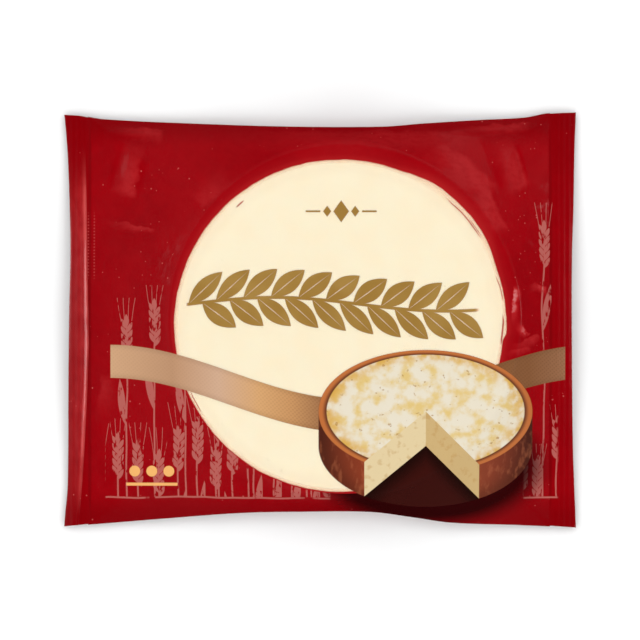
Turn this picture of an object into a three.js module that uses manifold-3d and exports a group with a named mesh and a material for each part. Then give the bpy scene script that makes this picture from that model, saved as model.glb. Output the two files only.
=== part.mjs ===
// A round slice of provolone, shut in a flow-wrap of printed film with a round clear window.
// Millimetres, +Z up. The pack lies on its back: X runs from one end seal to the other, the window looks up.
// The origin is under the middle of the pack, on the surface it lies on.
import * as THREE from "three";
import { mergeVertices } from "three/addons/utils/BufferGeometryUtils.js";
import Module from "manifold-3d";

// ---- Driving dimensions ----

// The film and the room between one piece and the next.
const FILM = 0.5;
const GAP = 0.3;

// The cheese: a round cut slice with softly rounded edges, lying nearer the right-hand seal.
const CHEESE_RADIUS = 62.5;
const CHEESE_THICKNESS = 15;
const CHEESE_EDGE = 1.6;
const CHEESE_X = 8.4;

// The pack's two ends: where each crimped seal starts, its cut edge at the corners, and how far the
// cut edge draws in, furthest at a height along Y.
const LEFT_SEAL = { inner: -81.6, cut: -90, drawnIn: 2.0, drawnInAt: 24 };
const RIGHT_SEAL = { inner: 80.9, cut: 90, drawnIn: 1.5, drawnInAt: -14 };

// The pack's two long edges, the folds of the film tube: Y at stations along X. They are full width at
// the seals, step in where the pouch begins, and draw in beside the cheese, which takes up the film.
const UPPER_EDGE = [[-90, 72.2], [-84, 71.9], [-76, 70.6], [-44, 69], [-10, 67.9], [22, 67.9], [36, 69],
  [56, 70.3], [72, 71.2], [80, 72.7], [90, 73]];
const LOWER_EDGE = [[-90, -72.6], [-78, -71.7], [-56, -69.9], [-28, -67.8], [-6, -67.3], [18, -67.4],
  [34, -69.5], [46, -71.2], [70, -72.1], [90, -73]];

// Where top and bottom film meet: high beside the cheese and at the middle of a seal, low at the corners.
const CORNER_HEIGHT = 2.2;
const SIDE_HEIGHT = 6.5;
const SEAL_HEIGHT = 6;
const FOLD_THICKNESS = 0.8;

// The loose film between the cheese and the outline hangs a little hollow: sag as a share of its span.
const SAG = 0.03;

// The clear window, a round gap in the print over the flat of the cheese, a little off its middle.
const WINDOW_RADIUS = 58;
const WINDOW_X = 7.1;
const WINDOW_Y = -2;

// The crimp of an end seal: ribs along Y, and the droop of its cut edge as a share of its height.
const SEAL_THICKNESS = 0.6;
const RIB_PITCH = 2;
const RIB_HEIGHT = 0.3;
const SEAL_PLAIN_EDGE = 0.6;
const SEAL_DROOP = 0.25;
const SEAL_OVERLAP = 1;
const SEAL_INSET = 0.3;

// The seam along the pack's back: a flat fin of film.
const SEAM_WIDTH = 11;
const SEAM_Y = -5;
const SEAM_THICKNESS = 0.4;
const SEAM_BURIED = 0.3;

// Steps of the meshes.
const STEPS = { end: 22, side: 36, arc: 3, round: 96, rib: 6, seal: 14, seam: 24 };
const SPANS = [0.1, 0.25, 0.42, 0.6, 0.78, 0.9, 0.97];

// ---- Sizes that follow ----

const PACK_THICKNESS = CHEESE_THICKNESS + 2 * (GAP + FILM);
const HALF_WIDTH = 73;
// The cheese, its cavity and the film over it turn the same corner, about these two rings.
const TURN_RADIUS = CHEESE_RADIUS - CHEESE_EDGE;
const FILM_TURN = CHEESE_EDGE + GAP + FILM;
const UPPER_TURN = PACK_THICKNESS - FILM_TURN;
const LOWER_TURN = FILM_TURN;

// ---- The outline of the pouch ----

// A smooth curve through stations [x, y]: between two of them a cubic, whose slope at a station is that
// of the line between its neighbours.
function through(stations, x) {
  const last = stations.length - 1;
  const next = stations.findIndex(([at], k) => at > x || k === last);
  const i = Math.max(next - 1, 0);
  const slope = (k) => {
    const [a, b] = [stations[Math.max(k - 1, 0)], stations[Math.min(k + 1, last)]];
    return (b[1] - a[1]) / (b[0] - a[0]);
  };
  const [[x0, y0], [x1, y1]] = [stations[i], stations[i + 1]];
  const span = x1 - x0;
  const t = THREE.MathUtils.clamp((x - x0) / span, 0, 1);
  return (1 + 2 * t) * (1 - t) ** 2 * y0 + t * (1 - t) ** 2 * span * slope(i)
    + (3 - 2 * t) * t * t * y1 - (1 - t) * t * t * span * slope(i + 1);
}

// A smooth hump: 1 at the middle, 0 at the reach and past it.
const hump = (distance, reach) => Math.cos((Math.PI / 2) * Math.min(Math.abs(distance) / reach, 1)) ** 2;

// Height at which top and bottom film meet, on the outline at x, y.
function meetingHeight(x, y) {
  const reach = x < CHEESE_X ? CHEESE_X - LEFT_SEAL.inner : RIGHT_SEAL.inner - CHEESE_X;
  return CORNER_HEIGHT + (SIDE_HEIGHT - CORNER_HEIGHT) * hump(x - CHEESE_X, reach)
    + (SEAL_HEIGHT - CORNER_HEIGHT) * hump(y, HALF_WIDTH);
}

// The pouch's outline, anticlockwise from the lower right corner: each point with its angle and distance
// about the cheese's axis, and the height at which the films meet.
function pouchOutline() {
  const corners = [];
  const along = (from, to, steps, point) => {
    for (let i = 0; i < steps; i++) corners.push(point(from + ((to - from) * i) / steps));
  };
  const [left, right] = [LEFT_SEAL.inner, RIGHT_SEAL.inner];
  along(through(LOWER_EDGE, right), through(UPPER_EDGE, right), STEPS.end, (y) => [right, y]);
  along(right, left, STEPS.side, (x) => [x, through(UPPER_EDGE, x)]);
  along(through(UPPER_EDGE, left), through(LOWER_EDGE, left), STEPS.end, (y) => [left, y]);
  along(left, right, STEPS.side, (x) => [x, through(LOWER_EDGE, x)]);
  return corners.map(([x, y]) => ({
    angle: Math.atan2(y, x - CHEESE_X),
    distance: Math.hypot(x - CHEESE_X, y),
    height: meetingHeight(x, y),
  }));
}

// ---- The film's run from the cheese to the outline ----

// Seen from the side, taut film turns round the cheese's rounded edge and leaves it on the tangent that
// meets the outline. Lengths are out from the turn's centre and down from it; returns the angle turned.
function turnedAngle(out, down) {
  return Math.asin(FILM_TURN / Math.hypot(out, down)) + Math.atan2(down, out);
}

// Points of that run as [distance from the axis, height], for the upper film, or the lower with sign -1.
function filmRun(edge, sign) {
  const turn = sign > 0 ? UPPER_TURN : LOWER_TURN;
  const end = edge.height + (sign * FOLD_THICKNESS) / 2;
  const angle = turnedAngle(edge.distance - TURN_RADIUS, sign * (turn - end));
  const run = [];
  for (let i = 0; i <= STEPS.arc; i++) {
    const a = (angle * i) / STEPS.arc;
    run.push([TURN_RADIUS + FILM_TURN * Math.sin(a), turn + sign * FILM_TURN * Math.cos(a)]);
  }
  const [r, z] = run.at(-1);
  const sag = sign * SAG * Math.hypot(edge.distance - r, end - z);
  for (const s of SPANS) {
    run.push([r + (edge.distance - r) * s, z + (end - z) * s - 4 * sag * s * (1 - s)]);
  }
  run.push([edge.distance, end]);
  return run;
}

// ---- Meshes ----

// A closed skin over rings of equally many points, or single points at its two ends. The rings run so
// that the skin's outside is below while they grow.
function skin(rings) {
  const count = Math.max(...rings.map((ring) => ring.length));
  const points = [];
  const index = [];
  const starts = rings.map((ring) => {
    const start = points.length / 3;
    ring.forEach((p) => points.push(...p));
    return (k) => start + (ring.length === 1 ? 0 : k % count);
  });
  for (let r = 1; r < rings.length; r++) {
    const [a, b] = [starts[r - 1], starts[r]];
    for (let k = 0; k < count; k++) {
      if (rings[r - 1].length > 1) index.push(a(k), a(k + 1), b(k + 1));
      if (rings[r].length > 1) index.push(a(k), b(k + 1), b(k));
    }
  }
  return new THREE.BufferGeometry()
    .setAttribute("position", new THREE.Float32BufferAttribute(points, 3))
    .setIndex(index);
}

// A closed plate over a grid: place(u, v) gives a point's [x, y, height of the top, height of the bottom].
function plate(columns, rows, place) {
  const rim = [];
  for (let i = 0; i < columns; i++) rim.push([i / columns, 0]);
  for (let j = 0; j < rows; j++) rim.push([1, j / rows]);
  for (let i = columns; i > 0; i--) rim.push([i / columns, 1]);
  for (let j = rows; j > 0; j--) rim.push([0, j / rows]);
  const points = [];
  const index = [];
  const at = (i, j, side) => 2 * (i * (rows + 1) + j) + side;
  for (let i = 0; i <= columns; i++) {
    for (let j = 0; j <= rows; j++) {
      const [x, y, top, bottom] = place(i / columns, j / rows);
      points.push(x, y, top, x, y, bottom);
      if (i === columns || j === rows) continue;
      index.push(at(i, j, 0), at(i + 1, j, 0), at(i + 1, j + 1, 0));
      index.push(at(i, j, 0), at(i + 1, j + 1, 0), at(i, j + 1, 0));
      index.push(at(i, j, 1), at(i + 1, j + 1, 1), at(i + 1, j, 1));
      index.push(at(i, j, 1), at(i, j + 1, 1), at(i + 1, j + 1, 1));
    }
  }
  rim.forEach(([u, v], k) => {
    const [w, t] = rim[(k + 1) % rim.length];
    const here = [Math.round(u * columns), Math.round(v * rows)];
    const next = [Math.round(w * columns), Math.round(t * rows)];
    index.push(at(...here, 0), at(...here, 1), at(...next, 1));
    index.push(at(...here, 0), at(...next, 1), at(...next, 0));
  });
  return new THREE.BufferGeometry()
    .setAttribute("position", new THREE.Float32BufferAttribute(points, 3))
    .setIndex(index);
}

const wasm = await Module();
wasm.setup();

function solid(geometry) {
  const merged = mergeVertices(geometry);
  return new wasm.Manifold(new wasm.Mesh({
    numProp: 3,
    vertProperties: merged.attributes.position.array,
    triVerts: new Uint32Array(merged.index.array),
  }));
}

function geometryOf(manifold) {
  const { vertProperties, triVerts } = manifold.getMesh();
  const geometry = new THREE.BufferGeometry()
    .setAttribute("position", new THREE.BufferAttribute(vertProperties, 3))
    .setIndex(new THREE.BufferAttribute(triVerts, 1));
  geometry.computeVertexNormals();
  return geometry;
}

// ---- The wrapper ----

// The pouch: film on all sides of the cheese's cavity, closed out to the folds and seals, and open at the
// window. One skin runs from under the cheese round the outside to the window, and back inside.
function pouch() {
  const outline = pouchOutline();
  const ring = (radius, height, x = CHEESE_X, y = 0) => outline.map(({ angle }) =>
    [x + radius * Math.cos(angle), y + radius * Math.sin(angle), height]);
  const runs = (sign) => {
    const each = outline.map((edge) => filmRun(edge, sign));
    return each[0].map((_, i) => outline.map(({ angle }, k) => {
      const [r, z] = each[k][i];
      return [CHEESE_X + r * Math.cos(angle), r * Math.sin(angle), z];
    }));
  };
  const cavityTurn = CHEESE_EDGE + GAP;
  const cavity = [];
  for (let i = 0; i <= STEPS.arc; i++) {
    const a = (Math.PI / 2) * (i / STEPS.arc);
    cavity.push([TURN_RADIUS + cavityTurn * Math.sin(a), cavityTurn * Math.cos(a)]);
  }
  return skin([
    [[CHEESE_X, 0, 0]],
    ...runs(-1),
    ...runs(1).reverse(),
    ring(WINDOW_RADIUS, PACK_THICKNESS, WINDOW_X, WINDOW_Y),
    ring(WINDOW_RADIUS, PACK_THICKNESS - FILM, WINDOW_X, WINDOW_Y),
    ...cavity.map(([r, z]) => ring(r, UPPER_TURN + z)),
    ...cavity.reverse().map(([r, z]) => ring(r, LOWER_TURN - z)),
    [[CHEESE_X, 0, FILM]],
  ]);
}

// An end seal: both films pressed into one ribbed strip, which starts a little narrower inside the
// pouch's end, droops towards its cut edge, and draws in between the corners.
function endSeal({ inner, cut, drawnIn, drawnInAt }) {
  const outwards = Math.sign(cut);
  const ribs = Math.round((Math.abs(cut - inner) - 2 * SEAL_PLAIN_EDGE) / RIB_PITCH);
  const columns = ribs * STEPS.rib + 2;
  return plate(columns, STEPS.seal, (u, v) => {
    const across = outwards > 0 ? u : 1 - u;
    const rib = THREE.MathUtils.clamp((across * columns - 1) / (columns - 2), 0, 1);
    const inset = SEAL_INSET * (1 - across);
    const edge = (x) => THREE.MathUtils.lerp(
      through(LOWER_EDGE, x) + inset, through(UPPER_EDGE, x) - inset, v);
    const start = inner - outwards * SEAL_OVERLAP;
    const end = cut - outwards * drawnIn * hump(edge(cut) - drawnInAt, HALF_WIDTH);
    const x = THREE.MathUtils.lerp(start, end, across);
    const y = edge(x);
    const middle = meetingHeight(inner, edge(inner)) * (1 - SEAL_DROOP * across ** 2)
      + (RIB_HEIGHT / 2) * Math.sin(2 * Math.PI * ribs * rib) * hump(2 * v - 1, 1.2);
    return [x, y, middle + SEAL_THICKNESS / 2, middle - SEAL_THICKNESS / 2];
  });
}

// Height of the lower film at x, y near the pack's long axis, where the outline is an end seal's inner edge.
function lowerFilm(x, y) {
  const inner = x < CHEESE_X ? LEFT_SEAL.inner : RIGHT_SEAL.inner;
  const share = Math.abs((x - CHEESE_X) / (inner - CHEESE_X));
  const radius = Math.hypot(x - CHEESE_X, y);
  const run = filmRun({ distance: radius / share, height: meetingHeight(inner, y / share) }, -1);
  return through(run, radius);
}

// The back seam from the flat under the cheese to one end seal. It lies on the lower film, and sinks into
// it under the cheese, so that the pack rests flat.
function backSeam(inner) {
  const from = CHEESE_X + Math.sign(inner) * (TURN_RADIUS - 3);
  const to = inner + Math.sign(inner);
  const [low, high] = [Math.min(from, to), Math.max(from, to)];
  const buried = FILM / 10;
  return plate(STEPS.seam, 2, (u, v) => {
    const x = THREE.MathUtils.lerp(low, high, u);
    const y = SEAM_Y + (v - 0.5) * SEAM_WIDTH;
    const film = lowerFilm(THREE.MathUtils.clamp(x, LEFT_SEAL.inner, RIGHT_SEAL.inner), y);
    return [x, y, film + SEAM_BURIED, Math.max(film - SEAM_THICKNESS, buried)];
  });
}

function wrapperGeometry() {
  const pieces = [
    endSeal(LEFT_SEAL), endSeal(RIGHT_SEAL), backSeam(LEFT_SEAL.inner), backSeam(RIGHT_SEAL.inner),
  ];
  return geometryOf(pieces.reduce((whole, piece) => whole.add(solid(piece)), solid(pouch())));
}

// ---- The round pieces ----

// The window: a flat disc of clear film, level with the wrapper's top.
function windowGeometry() {
  const radius = WINDOW_RADIUS - GAP;
  const profile = [[0, -FILM], [radius, -FILM], [radius, 0], [0, 0]];
  return new THREE.LatheGeometry(profile.map((p) => new THREE.Vector2(...p)), STEPS.round);
}

// The cheese: a thick disc with rounded edges, from its lower face at 0 up.
function cheeseGeometry() {
  const profile = [new THREE.Vector2(0, 0)];
  for (const [centre, start] of [[CHEESE_EDGE, -Math.PI / 2], [CHEESE_THICKNESS - CHEESE_EDGE, 0]]) {
    for (let i = 0; i <= STEPS.arc; i++) {
      const a = start + (Math.PI / 2) * (i / STEPS.arc);
      profile.push(new THREE.Vector2(
        TURN_RADIUS + CHEESE_EDGE * Math.cos(a), centre + CHEESE_EDGE * Math.sin(a)));
    }
  }
  profile.push(new THREE.Vector2(0, CHEESE_THICKNESS));
  return new THREE.LatheGeometry(profile, STEPS.round);
}

// A turned piece stands on +Y, so it is tipped up onto +Z at its place.
function turned(mesh, ...place) {
  mesh.rotation.x = Math.PI / 2;
  mesh.position.set(...place);
  return mesh;
}

// ---- Materials and the pack ----

const printedFilm = new THREE.MeshStandardMaterial({ color: 0x98060f, roughness: 0.35, metalness: 0 });
const clearFilm = new THREE.MeshStandardMaterial({
  color: 0xffffff, roughness: 0.1, metalness: 0, transparent: true, opacity: 0.2,
});
const cheesePaste = new THREE.MeshStandardMaterial({ color: 0xfdf1d3, roughness: 0.6, metalness: 0 });

function named(name, geometry, material) {
  const mesh = new THREE.Mesh(geometry, material);
  mesh.name = name;
  return mesh;
}

const pack = new THREE.Group();
pack.name = "cheese_pack";
pack.add(
  named("wrapper", wrapperGeometry(), printedFilm),
  turned(named("window", windowGeometry(), clearFilm), WINDOW_X, WINDOW_Y, PACK_THICKNESS),
  turned(named("cheese", cheeseGeometry(), cheesePaste), CHEESE_X, 0, FILM + GAP),
);

export default pack;
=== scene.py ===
import math

import bpy
import numpy as np
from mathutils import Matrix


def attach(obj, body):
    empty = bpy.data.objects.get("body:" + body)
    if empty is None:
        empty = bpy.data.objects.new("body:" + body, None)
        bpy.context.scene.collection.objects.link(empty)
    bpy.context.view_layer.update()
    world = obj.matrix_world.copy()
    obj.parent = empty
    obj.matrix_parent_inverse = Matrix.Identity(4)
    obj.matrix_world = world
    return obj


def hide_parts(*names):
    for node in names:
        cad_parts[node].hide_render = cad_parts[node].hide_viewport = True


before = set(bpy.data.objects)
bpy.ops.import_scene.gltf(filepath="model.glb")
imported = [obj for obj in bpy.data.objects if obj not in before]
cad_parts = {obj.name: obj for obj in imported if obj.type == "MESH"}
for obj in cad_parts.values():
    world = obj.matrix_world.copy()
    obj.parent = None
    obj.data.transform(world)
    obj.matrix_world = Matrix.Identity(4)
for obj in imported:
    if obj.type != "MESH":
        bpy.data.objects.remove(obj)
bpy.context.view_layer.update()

# ---- The cheese ----
# One thick slice of a pressed, smooth provolone: pale cream paste, all but without holes, with its
# edge rubbed round. It lies loose in the pack, and the film holds it.

CHEESE_RADIUS = 62.5
CHEESE_EDGE = 1.6
CHEESE_X = 8.4
CHEESE_LOW = 0.3
CHEESE_HIGH = 16.42
CHEESE_WAVE = 0.03
TURN_RADIUS = CHEESE_RADIUS - CHEESE_EDGE
SHARP_ANGLE = 40


def skin(rings, first, last):
    """Points and faces of a closed skin. Each ring of points is joined to the next by four-sided faces, and
    the end rings to the points first and last by triangles. With rings that run anticlockwise, the outside
    is below while they grow and above while they shrink."""
    count = rings.shape[1]
    points = np.concatenate([[first], rings.reshape(-1, 3), [last]])
    here = np.arange(count)
    onward = np.roll(here, -1)
    starts = 1 + count * np.arange(len(rings))[:, None]
    inner, outer = starts[:-1], starts[1:]
    sides = np.stack([inner + here, inner + onward, outer + onward, outer + here], axis=-1)
    start_cap = np.stack([0 * here, 1 + onward, 1 + here], axis=-1)
    end_cap = np.stack([starts[-1] + here, starts[-1] + onward, 0 * here + len(points) - 1], axis=-1)
    return points, [*sides.reshape(-1, 4).tolist(), *start_cap.tolist(), *end_cap.tolist()]


def piece(name, skins, materials, slots=None):
    """One mesh object from closed skins in millimetres, smooth but where faces meet past SHARP_ANGLE. slots
    gives each face's material."""
    points, faces = [], []
    for skin_points, skin_faces in skins:
        start = sum(map(len, points))
        points.append(skin_points)
        faces += [[start + corner for corner in face] for face in skin_faces]
    mesh = bpy.data.meshes.new(name)
    mesh.from_pydata((np.concatenate(points) / 1000).tolist(), [], faces)
    mesh.polygons.foreach_set("use_smooth", np.ones(len(faces), dtype=bool))
    for material in materials:
        mesh.materials.append(material)
    if slots is not None:
        mesh.polygons.foreach_set("material_index", slots)
    mesh.set_sharp_from_angle(angle=math.radians(SHARP_ANGLE))
    mesh.validate()
    made = bpy.data.objects.new(name, mesh)
    bpy.context.collection.objects.link(made)
    return made


def around(radius, height, angles, x=CHEESE_X, y=0.0):
    """Rings of points about an axis: radius and height give each ring, or each point on it."""
    radius, height = np.broadcast_arrays(radius, height, np.ones((len(radius), len(angles))))[:2]
    return np.stack([x + radius * np.cos(angles), y + radius * np.sin(angles), height], axis=-1)


def cheese_skin():
    """A disc turned from a flat, a quarter round of the edge's radius, the side and the same above. Long
    waves of a few hundredths of a millimetre run round it and, fainter, over its faces."""
    round_steps, quarter_steps, flat_steps = 220, 9, 16
    angles = np.linspace(0, 2 * np.pi, round_steps, endpoint=False)
    quarter = np.radians(np.linspace(0, 90, quarter_steps))[:, None]
    flat = TURN_RADIUS * np.linspace(0.06, 0.96, flat_steps)[:, None]
    radius = np.concatenate([
        flat, TURN_RADIUS + CHEESE_EDGE * np.sin(quarter),
        TURN_RADIUS + CHEESE_EDGE * np.cos(quarter), flat[::-1]])
    height = np.concatenate([
        0 * flat + CHEESE_LOW, CHEESE_LOW + CHEESE_EDGE * (1 - np.cos(quarter)),
        CHEESE_HIGH - CHEESE_EDGE * (1 - np.sin(quarter)), 0 * flat + CHEESE_HIGH])
    share = radius / CHEESE_RADIUS
    wave = CHEESE_WAVE * share * (
        np.sin(3 * angles + 1) + np.sin(5 * angles + 2 * share) + np.sin(8 * angles))
    rings = around(radius + wave, height + 0.2 * wave, angles)
    return skin(rings, [CHEESE_X, 0, CHEESE_LOW], [CHEESE_X, 0, CHEESE_HIGH])


class Field:
    """A value that varies over a surface. Arithmetic on it adds the Math nodes to its finish."""

    def __init__(self, finish, socket):
        self.finish = finish
        self.socket = socket

    def maths(self, operation, *terms):
        return self.finish.node("ShaderNodeMath", {"operation": operation}, dict(enumerate(terms)))

    def __add__(self, other):
        return self.maths("ADD", self, other)

    def __sub__(self, other):
        return self.maths("SUBTRACT", self, other)

    def __rsub__(self, other):
        return self.maths("SUBTRACT", other, self)

    def __mul__(self, other):
        return self.maths("MULTIPLY", self, other)

    def __truediv__(self, other):
        return self.maths("DIVIDE", self, other)

    def __mod__(self, other):
        return self.maths("FLOORED_MODULO", self, other)

    def __pow__(self, other):
        return self.maths("POWER", self, other)

    def __lt__(self, other):
        return self.maths("LESS_THAN", self, other)

    def __gt__(self, other):
        return self.maths("GREATER_THAN", self, other)

    def __abs__(self):
        return self.maths("ABSOLUTE", self)

    def most(self, other):
        return self.maths("MAXIMUM", self, other)

    def least(self, other):
        return self.maths("MINIMUM", self, other)

    def sine(self):
        return self.maths("SINE", self)

    def floor(self):
        return self.maths("FLOOR", self)

    __radd__ = __add__
    __rmul__ = __mul__


class Finish:
    """A node material while it is made, with its surface's place in millimetres."""

    def __init__(self, name):
        self.material = bpy.data.materials.new(name)
        self.material.use_nodes = True
        self.tree = self.material.node_tree
        self.tree.nodes.clear()
        metres = self.node("ShaderNodeTexCoord", output="Object")
        self.place = self.node("ShaderNodeVectorMath", {"operation": "SCALE"}, {0: metres, "Scale": 1000})
        self.x, self.y, self.z = (
            self.node("ShaderNodeSeparateXYZ", sockets={0: self.place}, output=axis) for axis in "XYZ")

    def node(self, kind, settings=None, sockets=None, output=0):
        made = self.tree.nodes.new(kind)
        settings = dict(settings or {})
        stops = settings.pop("stops", None)
        for name, value in settings.items():
            setattr(made, name, value)
        if stops:
            ramp = made.color_ramp
            while len(ramp.elements) < len(stops):
                ramp.elements.new(0.5)
            for element, (position, colour) in zip(ramp.elements, stops):
                element.position = position
                element.color = colour
        for name, value in (sockets or {}).items():
            if isinstance(value, Field):
                self.tree.links.new(value.socket, made.inputs[name])
            else:
                made.inputs[name].default_value = value
        return Field(self, made.outputs[output])

    def fade(self, value, start, stop):
        """0 where value is at start, 1 where it is at stop, smooth between."""
        return self.node("ShaderNodeMapRange", {"interpolation_type": "SMOOTHSTEP"},
                         {"Value": value, "From Min": start, "From Max": stop})

    def noise(self, pitch, detail=2.0, stretch=(1, 1, 1), shift=0.0):
        """Cloudy noise from 0 to 1 whose lumps are about pitch millimetres apart."""
        placed = self.node("ShaderNodeMapping", sockets={
            "Vector": self.place, "Location": (shift, shift, shift), "Scale": stretch})
        return self.node("ShaderNodeTexNoise", sockets={
            "Vector": placed, "Scale": 1 / pitch, "Detail": detail})

    def blend(self, mask, base, top):
        """The colour top over the colour base, by the mask."""
        return self.node("ShaderNodeMix", {"data_type": "RGBA"}, {0: mask, 6: base, 7: top}, output=2)

    def bump(self, height, distance, strength=1.0):
        """The normal of a relief: height from 0 to 1 is distance millimetres deep."""
        return self.node("ShaderNodeBump", sockets={
            "Height": height, "Distance": distance / 1000, "Strength": strength})

    def most_of(self, values):
        """The greatest of several values."""
        greatest = values[0]
        for value in values[1:]:
            greatest = greatest.most(value)
        return greatest

    def done(self, surface):
        output = self.tree.nodes.new("ShaderNodeOutputMaterial")
        self.tree.links.new(surface.socket, output.inputs["Surface"])
        return self.material


LIGHT_LEVEL = 1.25


def paint(red, green, blue, share=1.0):
    """A screen colour, 0 to 255, as the share of the light that the surface sends back."""
    screen = np.array([red, green, blue]) / 255
    light = np.where(screen > 0.04045, ((screen + 0.055) / 1.055) ** 2.4, screen / 12.92)
    return (*(light * share / LIGHT_LEVEL).tolist(), 1.0)


CREAM, CREAM_SHADE, FLECK = paint(255, 243, 213, 1.18), paint(255, 240, 208, 1.18), paint(238, 222, 184)


def cheese_paste():
    """Cream with slow mottling, a few darker flecks, and the fine open grain of a cut paste."""
    paste = Finish("provolone paste")
    cloud = paste.noise(9, 4)
    colour = paste.blend(paste.fade(cloud, 0.35, 0.7), CREAM, CREAM_SHADE)
    fleck = paste.fade(paste.noise(1.6, 1, shift=40), 0.74, 0.8)
    colour = paste.blend(fleck * 0.35, colour, FLECK)
    grain = paste.noise(0.7, 3) * 0.15 + paste.noise(6, 3, shift=9)
    surface = paste.node("ShaderNodeBsdfPrincipled", sockets={
        "Base Color": colour, "Roughness": 0.42 + cloud * 0.2, "IOR": 1.45,
        "Subsurface Weight": 0.1, "Subsurface Radius": (1.0, 0.7, 0.4), "Subsurface Scale": 0.002,
        "Normal": paste.bump(grain, 0.08)})
    return paste.done(surface)


cheese = piece("cheese_slice", [cheese_skin()], [cheese_paste()])
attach(cheese, "root")
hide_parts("cheese")

# ---- The wrapper ----
# One web of thin printed film, folded round the cheese and closed by a flat fin along the back. Its two
# ends are crimped shut between ribbed jaws and cut off. It is bent tight over the cheese's edge.

# Where the end seals begin, the folded edges as stations (x, y), and how high the two films meet at a
# corner, beside the cheese and at the middle of an end.
LEFT_SEAL, RIGHT_SEAL = -81.6, 80.9
UPPER_EDGE = [(-90, 72.2), (-84, 71.9), (-76, 70.6), (-44, 69), (-10, 67.9), (22, 67.9), (36, 69),
              (56, 70.3), (72, 71.2), (80, 72.7), (90, 73)]
LOWER_EDGE = [(-90, -72.6), (-78, -71.7), (-56, -69.9), (-28, -67.8), (-6, -67.3), (18, -67.4),
              (34, -69.5), (46, -71.2), (70, -72.1), (90, -73)]
CORNER_HEIGHT, SIDE_HEIGHT, SEAL_HEIGHT = 2.2, 6.5, 6.0
HALF_LENGTH, HALF_WIDTH = 90.0, 73.0
PACK_THICKNESS = 16.6
# The radii of the film's bend over the cheese and of its fold at the outline, how far it hangs hollow
# between them as a share of the way, its thickness, and the radius at which the clear part begins.
FILM_TURN = 2.4
FOLD = 0.4
SAG = 0.03
WEB = 0.15
OPENING_RADIUS = 60.7


def through(stations, x):
    """A smooth curve through stations (x, y): between two of them a cubic, whose slope at a station is that
    of the line between its neighbours."""
    at, value = np.array(stations, dtype=float).T
    last = len(at) - 1
    near, far = np.maximum(np.arange(last + 1) - 1, 0), np.minimum(np.arange(last + 1) + 1, last)
    slope = (value[far] - value[near]) / (at[far] - at[near])
    i = np.clip(np.searchsorted(at, x, side="right") - 1, 0, last - 1)
    span = at[i + 1] - at[i]
    t = np.clip((x - at[i]) / span, 0, 1)
    return ((1 + 2 * t) * (1 - t) ** 2 * value[i] + t * (1 - t) ** 2 * span * slope[i]
            + (3 - 2 * t) * t ** 2 * value[i + 1] - (1 - t) * t ** 2 * span * slope[i + 1])


def hump(distance, reach):
    """1 at the middle, 0 at the reach and past it: a squared cosine."""
    return np.cos(np.pi / 2 * np.minimum(np.abs(distance) / reach, 1)) ** 2


def meeting_height(x, y):
    """Height at which the upper and the lower film meet: low at the corners, high beside the cheese and at
    the middle of an end."""
    reach = np.where(x < CHEESE_X, CHEESE_X - LEFT_SEAL, RIGHT_SEAL - CHEESE_X)
    return (CORNER_HEIGHT + (SIDE_HEIGHT - CORNER_HEIGHT) * hump(x - CHEESE_X, reach)
            + (SEAL_HEIGHT - CORNER_HEIGHT) * hump(y, HALF_WIDTH))


def pouch_outline():
    """The outline of the pouch, anticlockwise from the lower right corner: up the right end, along the
    upper edge, down the left end and back along the lower edge."""
    end_steps, edge_steps = 104, 124

    def spread(start, stop, count):
        return np.linspace(start, stop, count, endpoint=False)

    lower_right, upper_right = through(LOWER_EDGE, RIGHT_SEAL), through(UPPER_EDGE, RIGHT_SEAL)
    lower_left, upper_left = through(LOWER_EDGE, LEFT_SEAL), through(UPPER_EDGE, LEFT_SEAL)
    right = spread(lower_right, upper_right, end_steps)
    top = spread(RIGHT_SEAL, LEFT_SEAL, edge_steps)
    left = spread(upper_left, lower_left, end_steps)
    bottom = spread(LEFT_SEAL, RIGHT_SEAL, edge_steps)
    x = np.concatenate([0 * right + RIGHT_SEAL, top, 0 * left + LEFT_SEAL, bottom])
    y = np.concatenate([right, through(UPPER_EDGE, top), left, through(LOWER_EDGE, bottom)])
    return x, y


outline_x, outline_y = pouch_outline()
outline_angle = np.arctan2(outline_y, outline_x - CHEESE_X)


def film_run(distance, height, sign, bends, shares):
    """The film's way from the cheese to the outline, seen from the side, as distances from the axis and
    heights. It turns round the cheese's edge through equal parts of the angle at which it then leaves on
    the tangent to the outline, and hangs a little hollow on the way. sign is 1 for the upper film and -1
    for the lower."""
    turn = PACK_THICKNESS - FILM_TURN if sign > 0 else FILM_TURN
    end_r, end_z = distance - FOLD, height + sign * FOLD
    out, down = end_r - TURN_RADIUS, sign * (turn - end_z)
    angle = np.arcsin(FILM_TURN / np.hypot(out, down)) + np.arctan2(down, out)
    bend = bends[:, None] * angle
    bend_r = TURN_RADIUS + FILM_TURN * np.sin(bend)
    bend_z = turn + sign * FILM_TURN * np.cos(bend)
    r, z, s = bend_r[-1], bend_z[-1], shares[:, None]
    sag = sign * SAG * np.hypot(end_r - r, end_z - z)
    return (np.concatenate([bend_r, r + (end_r - r) * s]),
            np.concatenate([bend_z, z + (end_z - z) * s - 4 * sag * s * (1 - s)]))


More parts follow.
